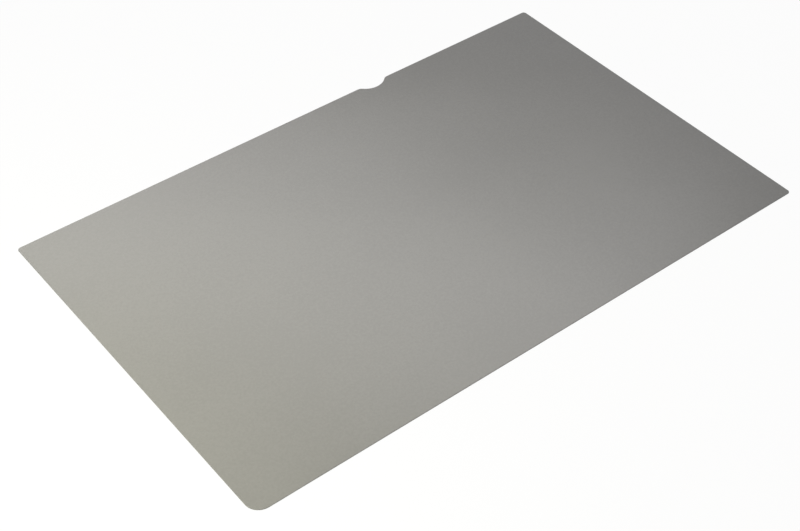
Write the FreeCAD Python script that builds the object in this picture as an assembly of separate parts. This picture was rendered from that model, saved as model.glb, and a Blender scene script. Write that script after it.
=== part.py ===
import FreeCAD, Part
import math
import os

# Monitor privacy filter: one sheet of louvre film, die-cut to the outline of a screen.
# It lies flat on its back face. Units are millimetres.
# X runs along the long edges, Y points to the notched long edge and Z points out of the front face.
# The origin is the middle of the back face.

# Sheet, the visible area of a 19 inch screen of 16:10
sheet_width = 408.0
sheet_height = 255.0
sheet_thickness = 0.5

# Corners: three are nearly square, and the one at -X -Y is cut rounder
corner_radius = 2.2
round_corner_radius = 9.0

# Finger notch in the +Y edge: a shallow round cut whose shoulders run smoothly into the edge
notch_offset = 65.6
notch_depth = 5.2
notch_radius = 13.0
notch_shoulder_radius = 5.0

# Roll-over that the cutting die leaves along the front rim
rim_radius = 0.12

# Edges of the outline
right_edge = sheet_width / 2
left_edge = -right_edge
notched_edge = sheet_height / 2
plain_edge = -notched_edge

# Points closer than this are the same point
match_tolerance = 1e-6


def upright_edges(solid, x, y):
    """The edges of the solid that stand along Z at (x, y)."""
    return [
        edge
        for edge in solid.Edges
        if all(math.hypot(end.X - x, end.Y - y) < match_tolerance for end in edge.Vertexes)
    ]


def rim_edges(solid, height):
    """The edges of the solid that lie in the plane at this height."""
    return [
        edge
        for edge in solid.Edges
        if all(abs(end.Z - height) < match_tolerance for end in edge.Vertexes)
    ]


def rounded_blank():
    """The plain sheet with its four corners rounded."""
    corners = [
        (left_edge, notched_edge, corner_radius),
        (right_edge, notched_edge, corner_radius),
        (right_edge, plain_edge, corner_radius),
        (left_edge, plain_edge, round_corner_radius),
    ]
    low_corner = FreeCAD.Vector(left_edge, plain_edge, 0)
    blank = Part.makeBox(sheet_width, sheet_height, sheet_thickness, low_corner)
    for x, y, radius in corners:
        blank = blank.makeFillet(radius, upright_edges(blank, x, y))
    return blank


def cut_notch(sheet):
    """Cuts the finger notch into the +Y edge and rounds its two shoulders."""
    cutter_y = notched_edge - notch_depth + notch_radius
    cutter = Part.makeCylinder(
        notch_radius,
        sheet_thickness,
        FreeCAD.Vector(notch_offset, cutter_y, 0),
    )
    notched = sheet.cut(cutter)
    half_chord = math.sqrt(notch_depth * (2 * notch_radius - notch_depth))
    shoulders = [
        edge
        for side in (-1, 1)
        for edge in upright_edges(notched, notch_offset + side * half_chord, notched_edge)
    ]
    return notched.makeFillet(notch_shoulder_radius, shoulders)


def roll_front_rim(sheet):
    """Rounds the whole front rim as the die leaves it."""
    return sheet.makeFillet(rim_radius, rim_edges(sheet, sheet_thickness))


def filter_sheet():
    return roll_front_rim(cut_notch(rounded_blank()))


os.makedirs("parts", exist_ok=True)
filter_sheet().exportStep("parts/filter_sheet.step")
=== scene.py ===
import math

import bpy
from mathutils import Matrix, Quaternion, Vector

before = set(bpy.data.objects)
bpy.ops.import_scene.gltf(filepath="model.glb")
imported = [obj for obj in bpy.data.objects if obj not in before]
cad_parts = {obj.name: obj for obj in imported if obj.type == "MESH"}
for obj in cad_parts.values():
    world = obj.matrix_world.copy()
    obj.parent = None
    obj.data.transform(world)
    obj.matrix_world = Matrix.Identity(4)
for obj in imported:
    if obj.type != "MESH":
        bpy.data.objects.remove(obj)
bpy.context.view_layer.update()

scene = bpy.context.scene
scene.view_settings.view_transform = "Standard"
print("frame: nodes", sorted(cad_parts))


# Node helpers: a socket given as an input is linked, anything else is set on the input itself
def clearedNodes(owner):
    owner.use_nodes = True
    owner.node_tree.nodes.clear()
    return owner.node_tree


def addNode(tree, kind, inputs=None, **settings):
    made = tree.nodes.new(kind)
    for name, value in settings.items():
        setattr(made, name, value)
    for socket, value in (inputs or {}).items():
        if isinstance(value, bpy.types.NodeSocket):
            tree.links.new(value, made.inputs[socket])
        else:
            made.inputs[socket].default_value = value
    return made


def maths(tree, operation, *values, clamp=False):
    inputs = dict(enumerate(values))
    return addNode(tree, "ShaderNodeMath", inputs, operation=operation, use_clamp=clamp).outputs[0]


def ramped(tree, value, start, end):  # 0 at start, 1 at end, eased between
    inputs = {"Value": value, "From Min": start, "From Max": end}
    return addNode(tree, "ShaderNodeMapRange", inputs, interpolation_type="SMOOTHSTEP").outputs[0]


def mixedColour(tree, share, first, second):
    made = addNode(tree, "ShaderNodeMix", {0: share, 6: first, 7: second}, data_type="RGBA")
    return made.outputs[2]


def mixedValue(tree, share, first, second):
    return addNode(tree, "ShaderNodeMix", {0: share, 2: first, 3: second}).outputs[0]


def cloudy(tree, spot, perMetre, detail):
    inputs = {"Vector": spot, "Scale": perMetre, "Detail": detail, "Roughness": 0.45}
    return addNode(tree, "ShaderNodeTexNoise", inputs).outputs["Fac"]


def inView(tree):  # 1 for what the camera sees, straight, mirrored or through glass
    path = addNode(tree, "ShaderNodeLightPath").outputs
    straightOrMirrored = maths(tree, "ADD", path["Is Camera Ray"], path["Is Glossy Ray"])
    return maths(tree, "ADD", straightOrMirrored, path["Is Transmission Ray"], clamp=True)


# Louvre film: grey laminate, satin coat in front, glossier behind, bare cut rim
filmLook = {
    "grey": (0.222, 0.220, 0.216, 1),
    "milkyGrey": (0.246, 0.244, 0.239, 1),  # where the laminate is a touch paler
    "milkyFrom": 0.35,  # of the mottle, which is half clouds and half grain
    "milkyTo": 0.65,
    "louvreGrey": (0.200, 0.198, 0.194, 1),
    "louvreShare": 0.6,  # how much of that grey the middle of a louvre takes
    "louvrePitch": 0.00025,  # metres, across the width
    "louvreRelief": 0.3,  # share of the fine bump, the rest is grain
    "cloudsPerMetre": 11.0,
    "cloudDetail": 3.0,
    "grainPerMetre": 700.0,
    "grainDetail": 2.0,
    "grainHeight": 0.00001,  # metres
    "grainStrength": 0.4,
    "wavesPerMetre": 7.0,
    "waveHeight": 0.0012,  # metres, so the film isn't a perfect mirror plane
    "frontRoughness": 0.24,
    "roughnessSpread": 0.06,
    "backRoughness": 0.16,
    "backFrom": -0.6,  # upright share of the normal, -1 is straight down
    "backTo": -0.9,
    "rimGrey": (0.200, 0.198, 0.194, 1),
    "rimRoughness": 0.55,
    "rimFrom": 0.96,  # upright share of the normal, 0 is a bare cut side
    "rimTo": 0.7,
    "index": 1.5,  # of refraction
}


def louvreFilm(look):
    material = bpy.data.materials.new("louvre_film")
    tree = clearedNodes(material)
    place = addNode(tree, "ShaderNodeTexCoord")
    spot = place.outputs["Object"]
    across = addNode(tree, "ShaderNodeSeparateXYZ", {0: spot}).outputs["X"]
    upright = addNode(tree, "ShaderNodeSeparateXYZ", {0: place.outputs["Normal"]}).outputs["Z"]
    isBack = ramped(tree, upright, look["backFrom"], look["backTo"])
    isRim = ramped(tree, maths(tree, "ABSOLUTE", upright), look["rimFrom"], look["rimTo"])

    clouds = cloudy(tree, spot, look["cloudsPerMetre"], look["cloudDetail"])
    grain = cloudy(tree, spot, look["grainPerMetre"], look["grainDetail"])
    waves = cloudy(tree, spot, look["wavesPerMetre"], 0.0)
    mottle = mixedValue(tree, 0.5, clouds, grain)
    turns = maths(tree, "MULTIPLY", across, 2 * math.pi / look["louvrePitch"])
    louvre = maths(tree, "MULTIPLY_ADD", maths(tree, "SINE", turns), 0.5, 0.5)

    milky = ramped(tree, mottle, look["milkyFrom"], look["milkyTo"])
    laminate = mixedColour(tree, milky, look["grey"], look["milkyGrey"])
    darkened = maths(tree, "MULTIPLY", louvre, look["louvreShare"])
    louvred = mixedColour(tree, darkened, laminate, look["louvreGrey"])
    colour = mixedColour(tree, isRim, louvred, look["rimGrey"])

    uneven = maths(tree, "SUBTRACT", mottle, 0.5)
    satin = maths(tree, "MULTIPLY_ADD", uneven, look["roughnessSpread"], look["frontRoughness"])
    faces = mixedValue(tree, isBack, satin, look["backRoughness"])
    roughness = mixedValue(tree, isRim, faces, look["rimRoughness"])

    wavy = addNode(tree, "ShaderNodeBump", {
        "Strength": 1.0,
        "Distance": look["waveHeight"],
        "Height": waves,
    })
    grainy = addNode(tree, "ShaderNodeBump", {
        "Strength": look["grainStrength"],
        "Distance": look["grainHeight"],
        "Height": mixedValue(tree, look["louvreRelief"], grain, louvre),
        "Normal": wavy.outputs[0],
    })
    surface = addNode(tree, "ShaderNodeBsdfPrincipled", {
        "Base Color": colour,
        "Roughness": roughness,
        "IOR": look["index"],
        "Normal": grainy.outputs[0],
    })
    addNode(tree, "ShaderNodeOutputMaterial", {"Surface": surface.outputs[0]})
    return material


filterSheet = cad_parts["filter_sheet"]
film = louvreFilm(filmLook)
for materialSlot in filterSheet.material_slots:
    materialSlot.material = film
print("filter sheet: louvre film on", len(filterSheet.data.polygons), "faces")


# White floor: glows white where it is seen, and its matt part takes the sheet's shadow
floorLook = {
    "drop": 0.0002,  # metres below the sheet's back
    "size": 16.0,
    "white": (0.95, 0.95, 0.95, 1),
    "glowShare": 0.94,
}


def whiteFloor(look):
    bpy.ops.mesh.primitive_plane_add(size=look["size"], location=(0, 0, -look["drop"]))
    floor = bpy.context.object
    floor.name = "white_floor"
    material = bpy.data.materials.new("white_floor")
    tree = clearedNodes(material)
    matt = addNode(tree, "ShaderNodeBsdfDiffuse", {"Color": look["white"]})
    glow = addNode(tree, "ShaderNodeEmission", {"Color": (1, 1, 1, 1), "Strength": 1.0})
    glowing = maths(tree, "MULTIPLY", inView(tree), look["glowShare"])
    both = addNode(tree, "ShaderNodeMixShader", {0: glowing, 1: matt.outputs[0], 2: glow.outputs[0]})
    addNode(tree, "ShaderNodeOutputMaterial", {"Surface": both.outputs[0]})
    floor.data.materials.append(material)


whiteFloor(floorLook)
print("floor: in place")


# White surround: white where it is seen, dimmer and a little cool as a light
surroundLook = {
    "seen": (1, 1, 1, 1),
    "asLight": (0.236, 0.236, 0.264, 1),
}


def whiteSurround(look):
    scene.world = bpy.data.worlds.new("white_surround")
    tree = clearedNodes(scene.world)
    light = mixedColour(tree, inView(tree), look["asLight"], look["seen"])
    sky = addNode(tree, "ShaderNodeBackground", {"Color": light, "Strength": 1.0})
    addNode(tree, "ShaderNodeOutputWorld", {"Surface": sky.outputs[0]})


whiteSurround(surroundLook)
print("surround: in place")


# Soft boxes: a long one behind the notched edge, and a small warm one past the short edge at -X
longBox = {
    "name": "long_soft_box",
    "place": (0.71, 1.22, 1.36),  # metres, aimed at the middle of the sheet
    "size": (1.56, 0.47),
    "turn": 19.3,  # degrees about its line of aim
    "watts": 7.43,
    "tint": (1.0, 0.98, 1.0),
    "mirrored": True,
}
sideBox = {
    "name": "side_soft_box",
    "place": (-0.44, -0.05, 0.31),
    "size": (0.42, 0.25),
    "turn": 0.0,
    "watts": 2.67,
    "tint": (1.0, 0.985, 0.755),
    "mirrored": False,  # lights the film but keeps out of its reflections
}


def softBox(settings):
    data = bpy.data.lights.new(settings["name"], "AREA")
    data.shape = "RECTANGLE"
    data.size, data.size_y = settings["size"]
    data.energy = settings["watts"]
    data.color = settings["tint"]
    lamp = bpy.data.objects.new(settings["name"], data)
    scene.collection.objects.link(lamp)
    lamp.visible_camera = False
    lamp.visible_glossy = settings["mirrored"]

    place = Vector(settings["place"])
    away = place.normalized()
    level = Vector((-away.y, away.x, 0)).normalized()
    longSide = Matrix.Rotation(-math.radians(settings["turn"]), 3, away) @ level
    axes = Matrix((longSide, away.cross(longSide), away)).transposed()
    lamp.matrix_world = Matrix.Translation(place) @ axes.to_4x4()


softBox(longBox)
softBox(sideBox)
print("soft boxes: two in place")


# Camera: stands off the rounder corner and looks across the sheet
photoCamera = {
    "azimuth": -39.37,  # degrees round from the plain edge
    "elevation": 43.5,
    "roll": 0.7,
    "distance": 0.9209,  # metres
    "aim": (-0.0162, -0.039, 0.0),
    "lens": 69.11,  # millimetres
    "sensor": 36.0,
    "shift": -0.04,  # of the picture's width, for a photo cropped close round the sheet
    "nearest": 0.01,  # metres
}


def standCamera(settings):
    data = bpy.data.cameras.new("photo_camera")
    data.lens = settings["lens"]
    data.sensor_width = settings["sensor"]
    data.shift_x = settings["shift"]
    data.clip_start = settings["nearest"]
    camera = bpy.data.objects.new("photo_camera", data)
    scene.collection.objects.link(camera)
    around = math.radians(settings["azimuth"])
    above = math.radians(settings["elevation"])
    away = Vector((math.sin(around), -math.cos(around), math.tan(above))).normalized()
    camera.location = Vector(settings["aim"]) + away * settings["distance"]
    facing = away.to_track_quat("Z", "Y")
    rolled = Quaternion((0, 0, 1), math.radians(settings["roll"]))
    camera.rotation_euler = (facing @ rolled).to_euler()
    scene.camera = camera


standCamera(photoCamera)
print("camera: in place")
